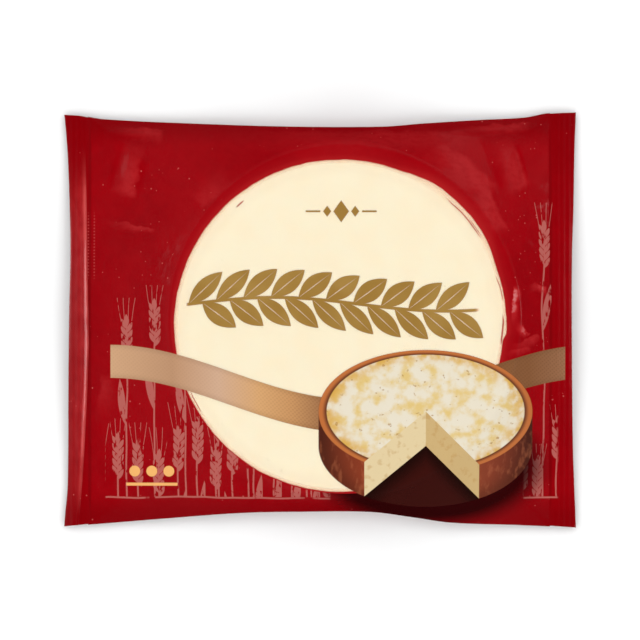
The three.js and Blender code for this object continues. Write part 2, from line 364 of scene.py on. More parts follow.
# Folds of the upper film, each from one point to another, with its half width and its height: a ridge,
# or a hollow where the height is less than nothing.
FOLDS = [
    ((-68.6, 60.5), (-73.0, 46.5), 2.2, -0.3), ((-64.5, 61.0), (-66.5, 45.0), 5.0, 0.7),
    ((-75.0, 66.0), (-58.0, 65.5), 2.6, 0.45), ((-76.0, 33.4), (-57.0, 30.6), 2.4, 0.45),
    ((-77.0, -20.0), (-66.0, -30.0), 3.5, 0.4), ((-74.0, -58.0), (-66.0, -48.0), 3.0, -0.4),
    ((68.4, 61.0), (72.6, 44.5), 2.0, -0.75), ((63.5, 60.5), (67.5, 44.5), 4.2, 0.7),
    ((57.0, 62.0), (63.5, 41.0), 2.6, -0.5), ((40.0, 66.5), (80.0, 67.5), 2.4, 0.45),
    ((70.5, 13.5), (76.5, 9.0), 2.2, 0.4), ((68.5, 12.0), (69.5, -3.0), 2.0, 0.35),
    ((67.0, -7.0), (76.0, -12.5), 1.9, 0.35), ((72.0, 30.0), (78.5, 24.0), 2.0, 0.3),
    ((72.0, -28.0), (78.5, -22.0), 2.0, 0.3), ((66.0, -60.0), (74.0, -48.0), 2.6, -0.5),
]


def folds(x, y):
    """The folds together: across each a squared cosine of its width, along it a hump from end to end."""
    height = np.zeros_like(x)
    for start, end, width, rise in FOLDS:
        along = np.subtract(end, start)
        t = ((x - start[0]) * along[0] + (y - start[1]) * along[1]) / (along @ along)
        near = np.clip(t, 0, 1)
        off = np.hypot(x - start[0] - along[0] * near, y - start[1] - along[1] * near)
        height += rise * hump(off, width) * hump(t - 0.5, 0.75)
    return height


def pouch_skin():
    """The pouch's web with both its faces. The outer face runs from under the cheese to the outline, round
    the fold in an arc, and back over the cheese to the opening. Above, the slope of each way out is evened
    with its neighbours', so that no sharp hip runs to a corner. The inner face is the outer one moved in
    along its normals by the web's thickness."""
    bend_steps, lower_steps, upper_steps, fold_steps, flat_steps = 7, 13, 54, 5, 6
    neighbours = 39
    distance = np.hypot(outline_x - CHEESE_X, outline_y)
    height = meeting_height(outline_x, outline_y)
    bends = np.linspace(0, 1, bend_steps)
    lower = film_run(distance, height, -1, bends, np.linspace(0.08, 1, lower_steps))
    shares = np.linspace(0.02, 1, upper_steps)
    upper_r, upper_z = film_run(distance, height, 1, bends, shares)
    turn = np.radians(np.linspace(-60, 60, fold_steps))[:, None]
    fold = distance - FOLD + FOLD * np.cos(turn), height + FOLD * np.sin(turn)
    flat = np.linspace(10, 56, flat_steps)[:, None] + 0 * distance
    x, y = CHEESE_X + upper_r * np.cos(outline_angle), upper_r * np.sin(outline_angle)
    span = np.concatenate([0 * bends, shares])[:, None]
    free = np.minimum(span / 0.12, 1) * np.minimum((1 - span) / 0.06, 1)
    upper_z = upper_z + np.where(span > 0, free * folds(x, y), 0)
    slope = (PACK_THICKNESS - height) / (distance - CHEESE_RADIUS)
    share = np.hanning(neighbours) / (neighbours // 2)
    evened = np.convolve(np.tile(slope, 3), share, "same")[len(slope):2 * len(slope)]
    beyond = np.maximum(upper_r - CHEESE_RADIUS, 0)
    upper_z = upper_z + (slope - evened) * beyond * (1 - span) * np.minimum(span / 0.2, 1)
    radius = np.concatenate([flat, lower[0], fold[0], upper_r[::-1], [0 * distance + OPENING_RADIUS]])
    level = np.concatenate([0 * flat, lower[1], fold[1], upper_z[::-1], [0 * distance + PACK_THICKNESS]])
    outer = around(radius, level, outline_angle)
    across = np.roll(outer, -1, axis=1) - np.roll(outer, 1, axis=1)
    normal = np.cross(across, np.gradient(outer, axis=0))
    inner = outer - WEB * normal / np.linalg.norm(normal, axis=-1, keepdims=True)
    return skin(np.concatenate([outer, inner[::-1]]), [CHEESE_X, 0, 0], [CHEESE_X, 0, WEB])


# A seal reaches SEAL_OVERLAP into the pouch, narrower than it by SEAL_INSET, and droops by a share of its
# height. LIP_REACH is the share of its way on which the pouch's film comes down.
SEAL_THICKNESS = 0.5
SEAL_OVERLAP, SEAL_INSET, SEAL_DROOP = 1.0, 0.3, 0.25
SEAL_LIP, LIP_REACH = 0.3, 0.3
RIB_PITCH, LEFT_RIB, RIGHT_RIB = 2.0, 0.035, 0.06
# The cut edges as stations (y, x).
LEFT_CUT = [(-73, -90), (-68, -89.6), (-58, -88.7), (-20, -88.4), (4, -88.1), (24, -87.7), (40, -88.0),
            (56, -88.6), (66, -89.3), (73, -90)]
RIGHT_CUT = [(-73, 90), (-58, 89.4), (-44, 88.9), (-10, 88.5), (20, 88.5), (40, 89.1), (60, 89.5), (73, 90)]
# The left seal's crest: its middle, its height, the widths of its flank and its drop, how far it runs from
# its middle, and how it drifts.
CREST_X, CREST_Y = -81.6, -8.0
CREST_HIGH, CREST_WIDE, CREST_DROP = 1.0, 2.2, 0.5
CREST_ABOVE, CREST_BELOW = 72, 105
LEAN_ABOVE, LEAN_BELOW, BOW_BELOW = 0.018, 0.03, 0.0004


def past_crest(x, above, below):
    """How far a point is inside the left seal's crest: the crest drifts to the cut edge in a straight line
    above its middle and a parabola below it. above and below are the distances from that middle."""
    return x - CREST_X + above * LEAN_ABOVE + below * (below * BOW_BELOW + LEAN_BELOW)


def end_seal(inner, cut, rib):
    """A ribbed strip, as sections along Y. Each runs over the top from the pouch to the cut edge and back
    below. The strip droops towards the cut edge, which draws in between the corners, and its ribs are a
    sine across it. On the left the jaws have left a crest: its flank is a parabola that steepens from the
    cut edge's side, and it drops within half a millimetre towards the pouch. The upper film of the pouch
    comes down on the strip in a short hollow ramp."""
    along_steps, across_steps = 76, 44
    side = np.sign(inner)
    v = np.linspace(0, 1, along_steps)[:, None]
    u = np.linspace(0, 1, across_steps)[None, :]
    inset = SEAL_INSET * (1 - u)

    def edge(x):
        low, high = through(LOWER_EDGE, x) + inset, through(UPPER_EDGE, x) - inset
        return low + (high - low) * v

    end = through(cut, edge(side * HALF_LENGTH))
    start = inner - side * SEAL_OVERLAP
    x = start + (end - start) * u
    y = edge(x)
    ribbed = np.minimum((1 - u) / 0.07, 1) * np.clip(u * 4 - 1, 0, 1)
    ribs = np.sin(2 * np.pi * (x - inner) / RIB_PITCH) * ribbed
    middle = meeting_height(inner, edge(0 * u + inner)) * (1 - SEAL_DROOP * u ** 2) + rib * ribs
    if side < 0:
        past = past_crest(x, np.maximum(y - CREST_Y, 0), np.maximum(CREST_Y - y, 0))
        flank = np.where(past < 0, 1 + past / CREST_WIDE, 1 - past / CREST_DROP)
        reach = np.where(y > 0, CREST_ABOVE, CREST_BELOW)
        middle += CREST_HIGH * np.clip(flank, 0, 1) ** 2 * hump(y, reach)
    rounded = SEAL_THICKNESS / 2 * np.sqrt(np.clip(1 - np.maximum(u * 10 - 9, 0) ** 2, 0.2, 1))
    lip = SEAL_LIP * np.clip(1 - u / LIP_REACH, 0, 1) ** 2
    top = np.stack(np.broadcast_arrays(x, y, middle + rounded + lip), axis=-1)
    bottom = np.stack(np.broadcast_arrays(x, y, middle - rounded), axis=-1)
    loop = np.concatenate([top, bottom[:, ::-1]], axis=1)
    if side < 0:
        loop = loop[:, ::-1]
    return skin(loop, loop[0].mean(axis=0), loop[-1].mean(axis=0))


FIN_WIDTH, FIN_Y, FIN_THICKNESS = 11.0, -5.0, 0.4
FIN_UNDER, FIN_PAST = 3.0, 0.6
FIN_BURIED, FIN_LOWEST = 0.3, 0.05
FIN_RIB_PITCH, FIN_RIB = 1.5, 0.06


def lower_film(x, y, end):
    """Height of the lower film near the long axis, where the way out ends at an end seal."""
    bends, shares = np.linspace(0, 1, 8), np.linspace(0.02, 1, 40)
    share = np.abs((x - CHEESE_X) / (end - CHEESE_X))
    radius = np.hypot(x - CHEESE_X, y)
    distance, height = radius / share, meeting_height(end, y / share)
    r, z = film_run(distance.ravel(), height.ravel(), -1, bends, shares)
    over = (r < radius.ravel()).sum(axis=0).clip(1, len(r) - 1)
    column = np.arange(radius.size)
    (r0, z0), (r1, z1) = [(r[k, column], z[k, column]) for k in (over - 1, over)]
    t = np.clip((radius.ravel() - r0) / (r1 - r0), 0, 1)
    return (z0 + (z1 - z0) * t).reshape(radius.shape)


def back_fin(end):
    """The fin of the back seam from the flat under the cheese to an end seal, as sections along X. It lies
    on the lower film and sinks into it under the cheese, so that the pack rests flat."""
    along_steps, across_steps = 44, 7
    side = np.sign(end)
    start = CHEESE_X + side * (TURN_RADIUS - FIN_UNDER)
    x = np.linspace(start, end + side * FIN_PAST, along_steps)[:, None]
    y = FIN_Y + FIN_WIDTH * np.linspace(-0.5, 0.5, across_steps)[None, :]
    x, y = np.broadcast_arrays(x, y)
    film = lower_film(np.clip(x, LEFT_SEAL + 0.01, RIGHT_SEAL - 0.01), y, end)
    ribs = FIN_RIB * np.sin(2 * np.pi * x / FIN_RIB_PITCH) * hump(y - FIN_Y, FIN_WIDTH * 0.55)
    top = np.stack([x, y, film + FIN_BURIED], axis=-1)
    bottom = np.stack([x, y, np.maximum(film - FIN_THICKNESS + ribs, FIN_LOWEST)], axis=-1)
    loop = np.concatenate([bottom, top[:, ::-1]], axis=1)
    if side < 0:
        loop = loop[:, ::-1]
    return skin(loop, loop[0].mean(axis=0), loop[-1].mean(axis=0))


# The print. Every motif is a function of a finish that gives its mask and its colour. The sine of a place
# times FULL_TURN / length is a wave of that length.

FULL_TURN = 2 * math.pi
SOFT = 0.1


def between(ink, value, low, high):
    """1 where the value is between low and high, 0 outside, soft by SOFT to both sides of each."""
    return ink.fade(value, low - SOFT, low + SOFT) * ink.fade(value, high + SOFT, high - SOFT)


def apart(across, up):
    """The length of the way that goes across and up."""
    return (across * across + up * up) ** 0.5


def turned(reach, off, angle):
    """The place (reach, off) as distances along and aside of a line at the angle."""
    c, s = math.cos(angle), math.sin(angle)
    return reach * c + off * s, off * c - reach * s


WINDOW_RADIUS, WINDOW_X, WINDOW_Y = 58.0, 7.1, -2.0
MOST_SWELL, MOST_WAVER = 1.5, 0.6


def window_edge(ink):
    """How far a point is outside the edge of the clear round, a circle with a small waver and a step in it
    on the right, and how far the edge swells out there, at the upper right."""
    across, up = ink.x - WINDOW_X, ink.y - WINDOW_Y
    radius = apart(across, up)
    aslant = (across + up) / (radius * math.sqrt(2))
    swell = ink.fade(aslant, 0.9, 1.0) * MOST_SWELL
    waver = (ink.noise(6, 4) - 0.5) * MOST_WAVER
    step = ink.fade(up, -2.5, -5.5) * ink.fade(across, 48, 54)
    return radius - WINDOW_RADIUS - waver + step, swell


# The band's middle line, where its wave begins, the wave's length and height, half the band's width, where
# its ends are, and the pitch of its threads. Then its colours by the share of its length.
RIBBON_Y, RIBBON_X, RIBBON_WAVE, RIBBON_SWING = -24.0, -31.0, 170.0, 9.5
RIBBON_HALF, RIBBON_ENDS, THREAD = 5.8, (-73.5, 86.1), 1.4
RIBBON_COLOURS = [
    (0.0, paint(218, 172, 132)), (0.14, paint(198, 152, 116)), (0.24, paint(218, 178, 148)),
    (0.33, paint(224, 172, 118)), (0.4, paint(208, 154, 102)), (0.47, paint(166, 116, 78)),
    (0.6, paint(128, 86, 56)), (0.92, paint(142, 94, 60)), (1.0, paint(162, 114, 82))]
RIBBON_SHADE = paint(98, 66, 40)


def ribbon(ink):
    """A woven band that swings across the print in one long wave, cut square at both ends: light tan on
    the left, orange tan, then brown, where the weave shows most."""
    swing = ((ink.x - RIBBON_X) * (FULL_TURN / RIBBON_WAVE)).sine() * RIBBON_SWING
    aside = ink.y - RIBBON_Y + swing
    mask = between(ink, aside, -RIBBON_HALF, RIBBON_HALF) * between(ink, ink.x, *RIBBON_ENDS)
    length = (ink.x + 74) / 160
    colour = ink.node("ShaderNodeValToRGB", {"stops": RIBBON_COLOURS}, {0: length})
    thread = FULL_TURN / THREAD
    weave = (ink.x * thread).sine() * ((ink.y + ink.x * 0.2) * thread).sine()
    shown = ink.fade(length, 0.25, 0.5) * 0.2 + 0.07
    shade = ink.fade(abs(aside), 3.5, 5.9) * 0.16 + ink.fade(weave, 0.0, 0.8) * shown
    return mask, ink.blend(shade, colour, RIBBON_SHADE)


# The middle of the wheel's top, its half width, half depth and height, and the angles at which the cut-out
# wedge meets the rim, in degrees. Then its colours, and where its shadow lies.
WHEEL_X, WHEEL_Y, WHEEL_HALF, WHEEL_DEEP, WHEEL_TALL = 37.0, -32.0, 37.5, 21.5, 12.0
NOTCH = (235, 300)
RIND_COLOURS = [
    (0.0, paint(96, 44, 30)), (0.25, paint(152, 66, 41)), (0.5, paint(166, 88, 56)),
    (0.8, paint(140, 64, 42)), (1.0, paint(84, 40, 30))]
RIND_FOOT, RIND_BLOOM = paint(60, 30, 22), paint(196, 112, 74)
RING_DARK, RING_LIGHT = paint(112, 62, 42), paint(200, 116, 62)
TOP_PALE, TOP_GOLDEN = paint(242, 232, 210), paint(236, 205, 132)
TOP_TOASTED, TOP_FLECK = paint(226, 176, 84), paint(172, 122, 48)
CUT_LEFT, CUT_RIGHT, CUT_MOTTLE = paint(236, 214, 168), paint(214, 182, 126), paint(196, 150, 84)
BOARD_NEAR, BOARD_FAR, SHADOW = paint(34, 13, 10), paint(62, 20, 16), paint(26, 4, 5)
SHADOW_RIGHT, SHADOW_DOWN, SHADOW_HALF, SHADOW_DEEP = 1.0, 19.0, 44.0, 23.0


def wheel(ink):
    """A whole cheese seen from above its front: an oval top in a rind, its side below, and a wedge cut out.
    The cut shows two upright faces under straight lines from the middle to the rim."""
    u, w = (ink.x - WHEEL_X) / WHEEL_HALF, (ink.y - WHEEL_Y) / WHEEL_DEEP
    low = (ink.y - WHEEL_Y + WHEEL_TALL) / WHEEL_DEEP
    top, foot = u * u + w * w, u * u + low * low
    side = ink.fade(abs(u), 1.005, 0.995) * between(ink, ink.y, WHEEL_Y - WHEEL_TALL, WHEEL_Y)
    on_top = ink.fade(top, 1.01, 0.99)
    body = on_top.most(ink.fade(foot, 1.01, 0.99)).most(side)

    rim = [(math.cos(math.radians(a)) * WHEEL_HALF, math.sin(math.radians(a)) * WHEEL_DEEP) for a in NOTCH]
    slopes = [y / x for x, y in rim]
    left, right = (ink.x - WHEEL_X).least(0), (ink.x - WHEEL_X).most(0)
    under = left * slopes[0] + right * slopes[1] - (ink.y - WHEEL_Y)
    notch = between(ink, ink.x, *(WHEEL_X + x for x, _ in rim)) * ink.fade(under, -SOFT, SOFT)

    mottle = ink.noise(5, 5, shift=3)
    paste = ink.blend(ink.fade(mottle, 0.42, 0.68), TOP_PALE, TOP_GOLDEN)
    paste = ink.blend(ink.fade(top, 0.55, 0.88) * ink.fade(mottle, 0.3, 0.6), paste, TOP_TOASTED)
    paste = ink.blend(ink.fade(ink.noise(1.7, 2, shift=17), 0.66, 0.72) * 0.6, paste, TOP_FLECK)
    rind = ink.node("ShaderNodeValToRGB", {"stops": RIND_COLOURS}, {0: u * 0.5 + 0.5})
    rind = ink.blend(ink.fade(foot, 0.55, 1.0) * 0.45, rind, RIND_FOOT)
    rind = ink.blend(ink.fade(ink.noise(2.2, 3, (1, 0.4, 1)), 0.5, 0.7) * 0.3, rind, RIND_BLOOM)
    ring = ink.blend(ink.fade(top, 0.86, 0.95), RING_DARK, RING_LIGHT)
    face = ink.blend(ink.fade(top, 0.865, 0.845), ring, paste)
    colour = ink.blend(on_top, rind, face)
    cut = ink.blend(ink.fade(ink.x, WHEEL_X - SOFT, WHEEL_X + SOFT), CUT_LEFT, CUT_RIGHT)
    cut = ink.blend(ink.fade(ink.noise(2.6, 3, shift=5), 0.55, 0.7) * 0.4, cut, CUT_MOTTLE)
    board = ink.blend(ink.fade(under, WHEEL_TALL, WHEEL_TALL + 9), BOARD_NEAR, BOARD_FAR)
    cut = ink.blend(ink.fade(under, WHEEL_TALL - SOFT, WHEEL_TALL + SOFT), cut, board)
    return body, ink.blend(notch, colour, cut)


def wheel_shadow(ink):
    """The wheel's soft shadow on the ground in front of it."""
    u = (ink.x - WHEEL_X - SHADOW_RIGHT) / SHADOW_HALF
    w = (ink.y - WHEEL_Y + SHADOW_DOWN) / SHADOW_DEEP
    return ink.fade(apart(u, w), 1.05, 0.75) * 0.93, SHADOW


GOLD, GOLD_LIGHT = paint(165, 126, 60), paint(174, 136, 70)


def leaf(along, off, length, half):
    """More than 0 inside a slender leaf, the space between two parabolas over its length."""
    share = along / length
    return (share - share * share) * (4 * half) - abs(off)


def sprig(ink):
    """A long sprig. Its stem is a slow wave, and leaves with a pale rib stand off it by turns above and
    below."""
    start, middle, wave, swing = -46.0, 5.5, 120.0, 2.4
    pitch, count, lean, leaf_long, leaf_half = 9.6, 10, math.radians(40), 15.5, 3.3
    rise = ink.y - middle - ((ink.x - start) * (FULL_TURN / wave)).sine() * swing
    leaves, ribs = [], []
    for side, shift in ((1, 0.0), (-1, pitch / 2)):
        off = rise * side
        for back in (0, pitch):
            reach = (ink.x - start - shift) % pitch + back
            base = ink.x - reach
            along, aside = turned(reach, off, lean)
            inside = (base > start - 1) * (base < start + shift + count * pitch - 1)
            leaves.append(leaf(along, aside, leaf_long, leaf_half) * inside - (1 - inside))
            ribs.append(abs(aside) + abs(along / leaf_long - 0.42) * 0.35)
    mask = ink.fade(ink.most_of(leaves), -0.06, 0.12)
    for shape, rib in zip(leaves, ribs):
        mask = mask * (1 - ink.fade(shape, 0.2, 0.6) * ink.fade(rib, 0.28, 0.12) * 0.7)
    stop = start + count * pitch + 6
    ends = ink.fade(ink.x, start - 1, start) * ink.fade(ink.x, stop, stop - 2)
    stem = ink.fade(abs(rise), 0.62, 0.42) * ends
    return mask.most(stem), ink.blend(ink.fade(ink.noise(12), 0.35, 0.65), GOLD, GOLD_LIGHT)


def divider(ink):
    """A thin rule, broken in its middle by a tall lozenge between two small ones. In a lozenge the distance
    across over its half width and the distance up over its half height come to less than 1."""
    middle_x, middle_y = 7.4, 38
    along, off = abs(ink.x - middle_x), abs(ink.y - middle_y)
    tall = ink.fade(along / 2.7 + off / 3.8, 1.06, 0.94)
    small = ink.fade(abs(along - 4.9) / 1.4 + off / 1.9, 1.1, 0.9)
    rule = ink.fade(off, 0.36, 0.2) * ink.fade(along, 7.2, 7.4) * ink.fade(along, 12.5, 12.3)
    return tall.most(small).most(rule), GOLD


# A grain's pitch along the ear, its length, its half width and the turn at which it stands off, the ear's
# length and a stem's half width, and a blade's length, half width, lean, and way down from the crown.
GRAIN_PITCH, GRAIN_LONG, GRAIN_HALF, GRAIN_TURN = 2.6, 4.3, 0.76, math.radians(27)
EAR_LONG, STEM_HALF = 16, 0.32
BLADE_LONG, BLADE_HALF, BLADE_LEAN, BLADE_DOWN = 17, 1.3, 0.26, 38
STRAW = paint(196, 106, 98)


def wheat_row(ink, pitch, seed, low, high):
    """A row of wheat: in each column a stem that leans a little, with a blade, and on it an ear whose crown
    is between the heights low and high. Grains stand off the ear by turns on both sides, and awns fan out
    above it. More than 0 inside."""
    column = (ink.x / pitch).floor()
    chance, other = (
        ink.node("ShaderNodeTexWhiteNoise", {"noise_dimensions": "1D"}, {"W": column + seed + more})
        for more in (0.5, 60.5))
    sway = (ink.noise(30, 1, (0.2, 1, 1), seed) - 0.5) * 3
    across = ink.x % pitch - pitch / 2 - (chance - 0.5) * (pitch * 0.2) - sway
    up = ink.y - low - other * (high - low)
    shapes = [leaf(up + 3.2, across, 4.6, 0.9)]
    for side, shift in ((1, 0.0), (-1, GRAIN_PITCH / 2)):
        off = across * side
        for back in (0, GRAIN_PITCH):
            reach = (up - shift) % GRAIN_PITCH + back
            base = up - reach
            inside = (base > -EAR_LONG) * (base < -GRAIN_PITCH)
            grain = leaf(*turned(reach, off, GRAIN_TURN), GRAIN_LONG, GRAIN_HALF)
            shapes.append(grain * inside - (1 - inside))
    fan = across / (up + 12)
    awn = 0.13 - abs((fan * 9) % 1 - 0.5) * (up + 12) / 9
    here = (abs(fan) < 0.2) * (up > -1) * ((up - chance * 4) < 5)
    shapes.append(awn * here - (1 - here))
    shapes.append((STEM_HALF - abs(across)).least(-1 - up))
    hand = (other > 0.5) * 2 - 1
    rise = up + BLADE_DOWN
    along, aside = turned(rise, across * hand, BLADE_LEAN)
    shapes.append(leaf(along, aside + rise * rise * 0.006, BLADE_LONG, BLADE_HALF))
    return ink.most_of(shapes)


def wheat(ink):
    """Two rows of wheat on a rule, in the broken strokes of a dry brush."""
    tall_row, low_row = (10.4, 3.0, -12.0, 34.0), (6.7, 8.0, -50.0, -26.0)
    rows = wheat_row(ink, *tall_row).most(wheat_row(ink, *low_row))
    dry = ink.fade(ink.noise(1.9, 4, (1.6, 0.5, 1), 21), 0.36, 0.44)
    ground = ink.y + 62.3 - (ink.noise(18, 2, (1, 0, 0), 7) - 0.5) * 2
    rule = ink.fade(abs(ground), 0.42, 0.18) * ink.fade(ink.noise(5, 3, (1, 0, 0), 31), 0.34, 0.42)
    strokes = ink.fade(rows, -0.06, 0.12) * dry * (ink.y > -62)
    left_part = ink.fade(ink.x, -75.6, -75) * ink.fade(ink.x, 4, 3)
    right_part = ink.fade(ink.x, 71, 72) * ink.fade(ink.x, 84, 83)
    return strokes.most(rule) * left_part.most(right_part) * 0.9, STRAW


MARK_ENDS, MARK_Y, MARK_PITCH = (-68, -50), -53, 6
MARK_COLOUR = paint(255, 190, 112)


def weight_mark(ink):
    """Three dots over a short rule."""
    along = (ink.x - MARK_ENDS[0]) % MARK_PITCH - MARK_PITCH / 2
    up = ink.y - MARK_Y
    dots = ink.fade(apart(along, up), 2.0, 1.8)
    rule = ink.fade(abs(up + 4.6), 0.62, 0.42)
    return dots.most(rule) * between(ink, ink.x, *MARK_ENDS), MARK_COLOUR


def film_normal(ink):
    """The web's own faint relief: slow waves, fine crinkles, and the jaws' knurl in the seals."""
    slow = ink.noise(11, 2)
    fine = ink.noise(2.6, 3, (1, 0.6, 1), 12)
    knurl = (ink.x * (FULL_TURN / 0.9)).sine() * (ink.y * (FULL_TURN / 0.9)).sine()
    sealed = ink.fade(abs(ink.x + 0.3), 81.6, 82.4)
    height = slow * 2 + fine * 0.5 + knurl * sealed * 0.08
    return ink.bump(height, 0.18)


def beyond_crest(ink):
    """How far the print is inside the left seal's crest."""
    return past_crest(ink.x, (ink.y - CREST_Y).most(0), (CREST_Y - ink.y).most(0))


def gloss(ink, colour):
    """Ink seen through the film that it lies behind, so that the face is smooth all over. The hot jaws have
    left the left seal satin from its cut edge to the crest."""
    satin = ink.fade(beyond_crest(ink), -0.8, -2.2) * ink.fade(ink.y, 66, 30)
    return ink.node("ShaderNodeBsdfPrincipled", sockets={
        "Base Color": colour, "Roughness": 0.1 + ink.noise(7, 3, shift=2) * 0.05 + satin * 0.13, "IOR": 1.45,
        "Normal": film_normal(ink)})


# The red, its cloud, the red where film lies double and painted shade falls, the red along the back's seam,
# and a pinkish white for painted glints and for the web bare of ink.
RED, RED_CLOUD = paint(165, 2, 13), paint(153, 1, 11)
RED_DOUBLED_AND_SHADED, RED_LAYERED = paint(136, 1, 8), paint(128, 1, 8)
BARE_WEB_AND_GLINT = paint(226, 110, 104)


def red_ground(ink):
    """The flood of red, uneven in a slow cloud, and deeper with painted shade along the folded edges, where
    the film also lies double, on the seals towards the corners, and in the groove at each seal's inner line.
    Painted
    glints speck it: a few large ones, and more of a fine grit, in loose clusters and in an oval beside the
    right seal."""
    cloud, fine = ink.fade(ink.noise(22, 3), 0.35, 0.65), ink.fade(ink.noise(3.2, 4, shift=13), 0.3, 0.7)
    colour = ink.blend(cloud * 0.6 + fine * 0.4, RED, RED_CLOUD)
    # Painted shade: darker in the groove at each seal's inner line, on the seals towards the corners, and
    # along the folded edges, where the film also lies double.
    groove_shade = ink.fade(abs(abs(ink.x) - 81.0), 1.1, 0.1)
    corners = ink.fade(ink.y, 40, 60) * 0.5 + ink.fade(ink.y, -58, -68) * 0.5 + 0.3
    sealed = ink.fade(abs(ink.x), 79.5, 82) * corners
    doubled_and_shaded = ink.fade(abs(ink.y), 59, 69).most(sealed).most(groove_shade)
    colour = ink.blend(doubled_and_shaded * 0.85, colour, RED_DOUBLED_AND_SHADED)
    # Painted glints: small pinkish white specks on the red, in loose clusters and in an oval beside the
    # right seal.
    across, up = (ink.x - 72) / 9, (ink.y - 30) / 18
    oval = ink.fade(across * across + up * up, 1.0, 0.5)
    clusters = ink.fade(ink.noise(16, 2, shift=55), 0.54, 0.66).most(oval)
    glint_sizes = [(6.5, 0.3, 0.35, 0.65), (3.1, 0.18, 0.3, 0.35), (1.9, 0.25, clusters * 0.42, 0.48)]
    for pitch, size, share, strength in glint_sizes:
        cells = {"Vector": ink.place, "Scale": 1 / pitch, "Randomness": 1.0}
        spot = ink.node("ShaderNodeTexVoronoi", {"feature": "F1"}, cells)
        chance = ink.node("ShaderNodeSeparateColor", sockets={
            0: ink.node("ShaderNodeTexVoronoi", {"feature": "F1"}, cells, output="Color")})
        glint = ink.fade(spot * pitch - chance * size, 0.12, -0.02) * (chance + share > 1)
        colour = ink.blend(glint * strength, colour, BARE_WEB_AND_GLINT)
    return colour


# Painted highlights, where the red is drawn paler on folds and slopes: the middle of each mark, its half
# length and half width, the turn of its length from the long side in degrees, and its strength. A mark fades
# in from its start and its right hand, and ends more firmly.
HIGHLIGHT_MARKS = [
    (45, 54, 19, 7, -40, 0.45), (56, 43, 16, 4.6, -64, 0.5), (66, 54.5, 11, 5.4, -70, 0.5),
    (60, 66.5, 15, 2.4, 4, 0.3), (-67.5, 53, 11, 5, -100, 0.5), (-64, 65, 10, 3, -6, 0.35),
    (-67, 32.3, 10, 1.5, -8, 0.45), (-38, 47, 9, 5, -140, 0.3), (-75, -28, 9, 3.4, 80, 0.3),
    (76, 11, 4, 2.2, -15, 0.75), (72, -8.5, 6, 1.9, 22, 0.55), (69, -11.5, 5, 1.6, 18, 0.5),
    (68.5, 4, 8, 1.6, 89, 1.2), (70.3, -3.8, 3.4, 1.4, -40, 0.9), (8, 61.5, 52, 5.5, 0, 0.22),
]
# Colours of the painted highlights: on the marks and at their strongest, in the ring round the window, and
# on the left seal, its crest and its dots.
HIGHLIGHT_RED, HIGHLIGHT_PINK, WINDOW_SHEEN = paint(194, 40, 44), paint(224, 140, 138), paint(184, 38, 42)
SEAL_SHEEN, CREST_HIGHLIGHT, DOT_GLINTS = paint(186, 34, 38), paint(222, 84, 82), paint(206, 74, 74)


def front_red(ink):
    """The red of the front. Painted highlights make it paler in soft ragged patches on folds and slopes, in
    a ring round the window, on the left seal, and most on that seal's crest. Inside the crest the jaws have
    left two columns of dots, painted as glints."""
    wander = ink.noise(5, 3, shift=33)
    x, y = ink.x + (wander - 0.5) * 4, ink.y + (ink.noise(5, 3, shift=71) - 0.5) * 4
    marks = []
    for middle_x, middle_y, length, width, turn, strength in HIGHLIGHT_MARKS:
        along, aside = turned(x - middle_x, y - middle_y, math.radians(turn))
        span = ink.fade(along, -length, 0.3 * length) * ink.fade(along, length, 0.7 * length)
        breadth = ink.fade(aside, -width, 0.4 * width) * ink.fade(aside, width, 0.65 * width)
        marks.append(span * breadth * strength)
    # Painted highlights: each mark pales the red, broken up by a fine grain, and the strongest turn pinkish
    # white.
    highlight_grain = ink.fade(ink.noise(1.8, 4, (0.6, 1, 1), 90), 0.3, 0.6) * 0.5 + 0.7
    pale = ink.most_of(marks) * highlight_grain
    colour = ink.blend(pale, red_ground(ink), HIGHLIGHT_RED)
    colour = ink.blend(ink.fade(pale, 0.7, 1.7), colour, HIGHLIGHT_PINK)
    outside, swell = window_edge(ink)
    # A painted sheen: a ring of paler red outside the window, where the film bends over the cheese's edge.
    colour = ink.blend(ink.fade(outside - swell, 7, 1) * 0.22, colour, WINDOW_SHEEN)
    # Painted highlights on the left seal: a soft sheen from the cut edge to the crest, uneven along it,
    # brightest on the crest.
    past = beyond_crest(ink)
    there = ink.fade(abs(ink.y + 4), 66, 40)
    uneven_sheen = ink.fade(ink.noise(15, 3, (0.15, 1, 1), 26), 0.36, 0.58) * 0.45 + 0.6
    sheen_mask = ink.fade(past, 0.6, -0.6) * (ink.fade(past, -6.5, -0.8) * 0.7 + 0.2) * uneven_sheen
    speckle = ink.fade(ink.noise(1.6, 3, (1, 0.35, 1), 44), 0.2, 0.75) * 0.8 + 0.25
    colour = ink.blend(sheen_mask * speckle * there, colour, SEAL_SHEEN)
    crest = ink.fade(past, -1.3, 0.1) * ink.fade(past, 0.6, 0.2)
    colour = ink.blend(crest * there * uneven_sheen * 0.95, colour, CREST_HIGHLIGHT)
    # Painted glints on the two columns of the jaws' dots inside the crest.
    dots = ink.fade((ink.y * (FULL_TURN / 1.1)).sine(), -0.2, 0.7) * ink.fade(abs(ink.y - 26), 13, 9)
    columns = ink.fade(abs(abs(ink.x + 80.3) - 1.05), 0.4, 0.1)
    return ink.blend(columns * dots * 0.6, colour, DOT_GLINTS)


def printed(ink, colour, cover, motifs):
    """The motifs over a ground, each over those before it. Returns the colour and what is covered."""
    for motif in motifs:
        mask, tint = motif(ink)
        colour = ink.blend(mask, colour, tint)
        cover = mask.most(cover)
    return colour, cover


def printed_front():
    ink = Finish("printed film")
    colour, _ = printed(ink, front_red(ink), 0.0, [wheat, wheel_shadow, ribbon, wheel, weight_mark])
    return ink.done(gloss(ink, colour))


